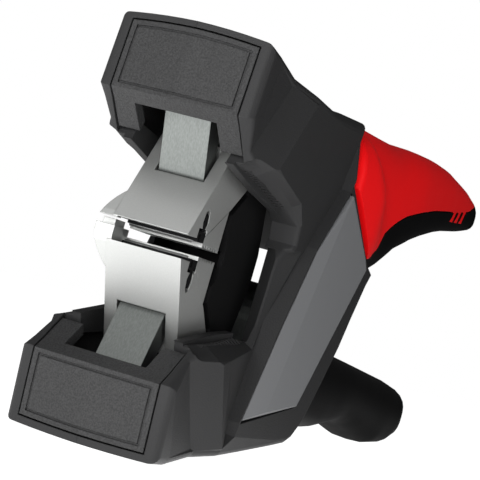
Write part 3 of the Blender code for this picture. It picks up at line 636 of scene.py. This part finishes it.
HANDLE_TOP = [(58.3, 23.0), (60.9, 34.4), (68.0, 35.8), (84.0, 36.4), (104.0, 36.8),
              (120.8, 38.3), (133.7, 39.0), (145.0, 39.0), (163.4, 37.5), (172.0, 36.0),
              (177.4, 34.0), (180.0, 31.4)]
RED_EDGE = [(58.3, 22.5), (78.6, 9.4), (88.5, 11.6), (94.6, 13.4), (98.3, 17.2), (103.3, 20.0),
            (109.7, 22.6), (120.0, 25.1), (131.5, 27.2), (143.5, 28.8), (152.0, 29.8),
            (165.0, 31.8), (172.5, 34.6)]
GRIP_BOTTOM = [(84.9, 6.2), (97.0, 6.4), (103.1, 7.6), (108.3, 10.4), (112.0, 12.8), (123.6, 17.0),
               (134.2, 19.9), (145.5, 22.6), (155.0, 24.4), (168.0, 26.2), (175.5, 27.6),
               (179.0, 29.4), (180.0, 31.0)]
RED_SPAN = (58.5, 172.2)
GRIP_SPAN = (85.0, 179.9)
HANDLE_STATIONS = 72
HANDLE_POWER = 3.4           # how square the handle's section is; 2 would be an ellipse
GRIP_FRONT = 88.0            # ahead of this X, the red section's floor falls towards the front
FLOOR_FALL = 0.35            # by this much for each mm
SEAM = 0.12
TEETH = 3
TOOTH_START, TOOTH_PITCH = (148.8, 27.1), (4.7, 0.45)


def handle_half_width(x, z=30.0):
    """A wide collar that necks down along a leaning line, then a slow taper to the tip."""
    below = max(0.0, 34.0 - z)
    start = 63.0 + min(11.0, below)
    neck = between(x, start, start + 12.0 + 0.8 * below)
    neck = neck * neck * (3.0 - 2.0 * neck)
    tip = math.sqrt(max(0.0, 1.0 - between(x, 171.0, 180.6) ** 2))
    width = SPINE_HALF_WIDTH + 0.2 - neck * 5.4 - 3.0 * between(x, 120.0, 171.0)
    return width * (0.35 + 0.65 * tip)


def oval_width(v, power):
    """The half width of a superellipse of half width 1, at a height from -1 to 1."""
    return max(0.0, 1.0 - abs(v) ** power) ** (1.0 / power)


def section(x, low, high, floor_z, top_z, half_width, power):
    """A ring round the part between low and high of a rounded section; half_width takes a Z."""
    middle, half = (floor_z + top_z) / 2.0, (top_z - floor_z) / 2.0
    limits = [max(-1.0, min(1.0, (z - middle) / half)) for z in (low, high)]
    turns = [math.asin(v) for v in limits]
    left = []
    for i in range(SECTION_STEPS + 1):
        v = math.sin(turns[0] + (turns[1] - turns[0]) * i / SECTION_STEPS)
        z = middle + half * v
        left.append((x, -max(0.05, half_width(z) * oval_width(v, power)), z))
    return left + [(px, -py, pz) for px, py, pz in reversed(left)]


def loft(sections):
    """Joins the rings of sections and closes both ends."""
    shape = bmesh.new()
    rings = [[shape.verts.new(p) for p in ring] for ring in sections]
    join_rings(shape, rings)
    for ring in (rings[0], rings[-1]):
        count = len(ring) // 2
        for i in range(count - 1):
            shape.faces.new((ring[i], ring[i + 1], ring[-2 - i], ring[-1 - i]))
    return shape


def stations(start, end, count):
    """Closer together towards both ends, where the shape turns fastest."""
    return [start + (end - start) * (0.5 - 0.5 * math.cos(math.pi * i / count))
            for i in range(count + 1)]


def handle_section(x, low, high, floor, top):
    return section(x, low, high, floor, top, lambda z: handle_half_width(x, z), HANDLE_POWER)


def make_red_handle():
    rings = []
    for x in stations(*RED_SPAN, HANDLE_STATIONS):
        floor = smooth_z(GRIP_BOTTOM, max(x, GRIP_FRONT)) - max(0.0, GRIP_FRONT - x) * FLOOR_FALL
        top, low = smooth_z(HANDLE_TOP, x, 1.2), smooth_z(RED_EDGE, x, 1.2) + SEAM
        rings.append(handle_section(x, min(low, top - 0.3), top, floor, top))
    cutters = [prism(circle(spot, SCREW_HEAD_RADIUS + GAP), handle_half_width(*spot) - 3.2, OUTSIDE)
               for spot in HANDLE_SCREWS]
    piece("red_handle", loft(rings), "handle_red", "frame",
          ["handle_shell_left", "handle_shell_right"], cutters)


def make_collar_screw():
    spot = HANDLE_SCREWS[0]
    face = handle_half_width(*spot) - 1.3
    head = prism(circle(spot, SCREW_HEAD_RADIUS), face - 1.8, face)
    socket = prism(circle(spot, SOCKET_RADIUS, 6), face - 1.0, face + 1.0)
    piece("collar_screw", head, "plain_steel", "frame", ["handle_screw_1"], [socket])


def make_grip():
    """The black grip, with red slanted teeth set in pockets near its tip."""
    rings = []
    for x in stations(*GRIP_SPAN, HANDLE_STATIONS):
        floor, top = smooth_z(GRIP_BOTTOM, x, 1.2), smooth_z(HANDLE_TOP, x, 1.2)
        high = smooth_z(RED_EDGE, x, 1.2) - SEAM if x < 172.0 else top
        floor = min(floor, top - 0.6)
        rings.append(handle_section(x, floor, max(floor + 0.4, min(high, top)), floor, top))
    pockets = []
    for i in range(TEETH):
        x, z = TOOTH_START[0] + TOOTH_PITCH[0] * i, TOOTH_START[1] + TOOTH_PITCH[1] * i
        tooth = [(x, z), (x + 2.8, z + 0.2), (x + 4.6, z + 3.6), (x + 1.8, z + 3.4)]
        for side, hand in SIDES:
            face = handle_half_width(x + 2.0) * 0.985
            pockets.append(prism(tooth, *sorted((side * (face - 2.0), side * OUTSIDE))))
            shape = prism(tooth, *sorted((side * (face - 1.9), side * (face - 0.12))))
            piece(f"red_tooth_{i + 1}_{hand}", shape, "handle_red", "frame")
    piece("black_grip", loft(rings), "soft_grip", "frame", ["handle_grip"], pockets)


SLEEVE_TOP = [(70.5, -10.0), (84.0, -9.6), (100.6, -10.4), (110.0, -11.1), (150.0, -13.5),
              (157.5, -14.4), (161.0, -16.2), (162.2, -19.5)]
SLEEVE_BOTTOM = [(70.5, -26.4), (73.5, -27.0), (84.0, -28.6), (102.0, -28.1), (112.4, -26.4),
                 (118.2, -25.4), (124.7, -25.9), (134.0, -27.4), (146.0, -29.4), (155.0, -28.8),
                 (160.2, -26.4), (162.2, -21.6)]
SLEEVE_SPAN = (70.6, 162.1)
SLEEVE_STATIONS = 70
SLEEVE_HALF_WIDTH = 8.2
CORE_POCKET = ((60.0, -4.4, -24.4), (112.4, 4.4, -13.6))


def make_lever():
    """The lever's sleeve, with a pocket for the steel core."""
    rings = []
    for x in stations(*SLEEVE_SPAN, SLEEVE_STATIONS):
        top, floor = smooth_z(SLEEVE_TOP, x, 1.0), smooth_z(SLEEVE_BOTTOM, x, 1.0)
        end = math.sqrt(max(0.0, 1.0 - between(x, 158.0, 162.4) ** 2))
        width = SLEEVE_HALF_WIDTH * (0.25 + 0.75 * end)
        rings.append(section(x, floor, top, floor, top, lambda z, width=width: width, 3.0))
    piece("lever_sleeve_skin", loft(rings), "lever_plastic", "lever", ["lever_sleeve"],
          [block(*CORE_POCKET)])


# ---- the frame's own nodes, lights, floor and camera ----

# From here on, places and sizes are in the frame's metres, and energies in watts.
WHITE = (1.0, 1.0, 1.0, 1.0)
TOOL_MIDDLE = (0.0, 0.0, 0.037)
# name, place, aim, size, energy
LIGHTS = (
    ("front_softbox", (-0.75, -0.05, 0.15), TOOL_MIDDLE, (0.6, 0.26), 5.0),
    ("side_softbox", (0.10, -0.75, 0.25), TOOL_MIDDLE, (0.6, 0.45), 1.2),
    ("jaw_card", (-0.35, 0.185, 0.42), (-0.07, 0.0, 0.055), (0.25, 0.25), 0.36),
    ("top_softbox", (0.05, 0.05, 0.80), TOOL_MIDDLE, (0.8, 0.8), 0.4),
)
AMBIENT = 0.05               # the world's light, as the tool gets it
FLOOR_RADIUS = 3.0
FLOOR_GLOW = 1.0             # the floor's own light, as the camera sees it
# The floor's own light, as the tool gets it: strongest in front, fading to the rear and the left.
FRONT_GLOW, REAR_GLOW = 2.6, 0.08
GLOW_FADE_X = (-0.14, 0.06)
GLOW_LEFT = 0.1              # the share of it that is left at the left end of the fade along Y
GLOW_FADE_Y = (-0.45, -0.02)
CAMERA_LENS = 150.0
CAMERA_PLACE = (-0.39902, -0.14507, 0.02713)
CAMERA_AXES = ((0.3517, -0.8944, 0.2764), (-0.1405, 0.2415, 0.9602), (-0.9255, -0.3766, -0.0407))


def dress_nodes():
    """Every node that stays in view takes its slot's material."""
    for entry in frame["record"]["subparts"]:
        node = frame["nodes"][entry["node"]]
        node.data.materials.clear()
        node.data.materials.append(MATERIALS[entry["material_slot"]])


def add_light(name, place, target, size, energy):
    light = bpy.data.lights.new(name, "AREA")
    light.shape = "RECTANGLE"
    light.size, light.size_y = size
    light.energy = energy
    obj = bpy.data.objects.new(name, light)
    obj.location = place
    obj.rotation_euler = (Vector(target) - Vector(place)).to_track_quat("-Z", "Y").to_euler()
    bpy.context.scene.collection.objects.link(obj)


def make_world():
    """White to the camera, and a dim even light to the tool."""
    world = bpy.data.worlds.new("studio")
    bpy.context.scene.world = world
    world.use_nodes = True
    tree = world.node_tree
    ambient = tree.nodes["Background"]
    ambient.inputs["Color"].default_value = WHITE
    ambient.inputs["Strength"].default_value = AMBIENT
    backdrop = tree.nodes.new("ShaderNodeBackground")
    backdrop.inputs["Color"].default_value = WHITE
    rays = tree.nodes.new("ShaderNodeLightPath")
    choose = tree.nodes.new("ShaderNodeMixShader")
    tree.links.new(rays.outputs["Is Camera Ray"], choose.inputs["Fac"])
    tree.links.new(ambient.outputs["Background"], choose.inputs[1])
    tree.links.new(backdrop.outputs["Background"], choose.inputs[2])
    tree.links.new(choose.outputs["Shader"], tree.nodes["World Output"].inputs["Surface"])
    bpy.context.scene.view_settings.view_transform = "Standard"


def fade_node(tree, source, span, start, end):
    """A value that goes from start to end while the source crosses the span."""
    node = tree.nodes.new("ShaderNodeMapRange")
    node.inputs["From Min"].default_value, node.inputs["From Max"].default_value = span
    node.inputs["To Min"].default_value = start
    node.inputs["To Max"].default_value = end
    tree.links.new(source, node.inputs["Value"])
    return node


def floor_material():
    material, tree, shader = blank("floor", (0.5, 0.5, 0.5), 0.9, 0.0)
    shader.inputs["Specular IOR Level"].default_value = 0.0
    shader.inputs["Emission Color"].default_value = WHITE
    place = tree.nodes.new("ShaderNodeTexCoord")
    axes = tree.nodes.new("ShaderNodeSeparateXYZ")
    along = fade_node(tree, axes.outputs["X"], GLOW_FADE_X, FRONT_GLOW, REAR_GLOW)
    across = fade_node(tree, axes.outputs["Y"], GLOW_FADE_Y, GLOW_LEFT, 1.0)
    both = tree.nodes.new("ShaderNodeMath")
    both.operation = "MULTIPLY"
    seen = tree.nodes.new("ShaderNodeLightPath")
    choose = tree.nodes.new("ShaderNodeMix")
    choose.inputs["B"].default_value = FLOOR_GLOW
    tree.links.new(place.outputs["Object"], axes.inputs["Vector"])
    tree.links.new(along.outputs["Result"], both.inputs[0])
    tree.links.new(across.outputs["Result"], both.inputs[1])
    tree.links.new(seen.outputs["Is Camera Ray"], choose.inputs["Factor"])
    tree.links.new(both.outputs["Value"], choose.inputs["A"])
    tree.links.new(choose.outputs["Result"], shader.inputs["Emission Strength"])
    return material


def make_floor():
    shape = bmesh.new()
    bmesh.ops.create_circle(shape, cap_ends=True, radius=FLOOR_RADIUS, segments=64)
    mesh = bpy.data.meshes.new("floor")
    shape.to_mesh(mesh)
    shape.free()
    floor = bpy.data.objects.new("floor", mesh)
    bpy.context.scene.collection.objects.link(floor)
    mesh.materials.append(floor_material())


def make_camera():
    camera = bpy.data.cameras.new("camera")
    camera.lens = CAMERA_LENS
    camera.sensor_width = 36.0
    camera.clip_start = 0.01
    obj = bpy.data.objects.new("camera", camera)
    turn = Matrix(CAMERA_AXES).transposed()
    obj.matrix_world = Matrix.Translation(CAMERA_PLACE) @ turn.to_4x4()
    bpy.context.scene.collection.objects.link(obj)
    bpy.context.scene.camera = obj


dress_nodes()
make_casing()
make_front_inserts()
make_labels()
make_red_handle()
make_collar_screw()
make_grip()
make_lever()
make_world()
for settings in LIGHTS:
    add_light(*settings)
make_floor()
make_camera()
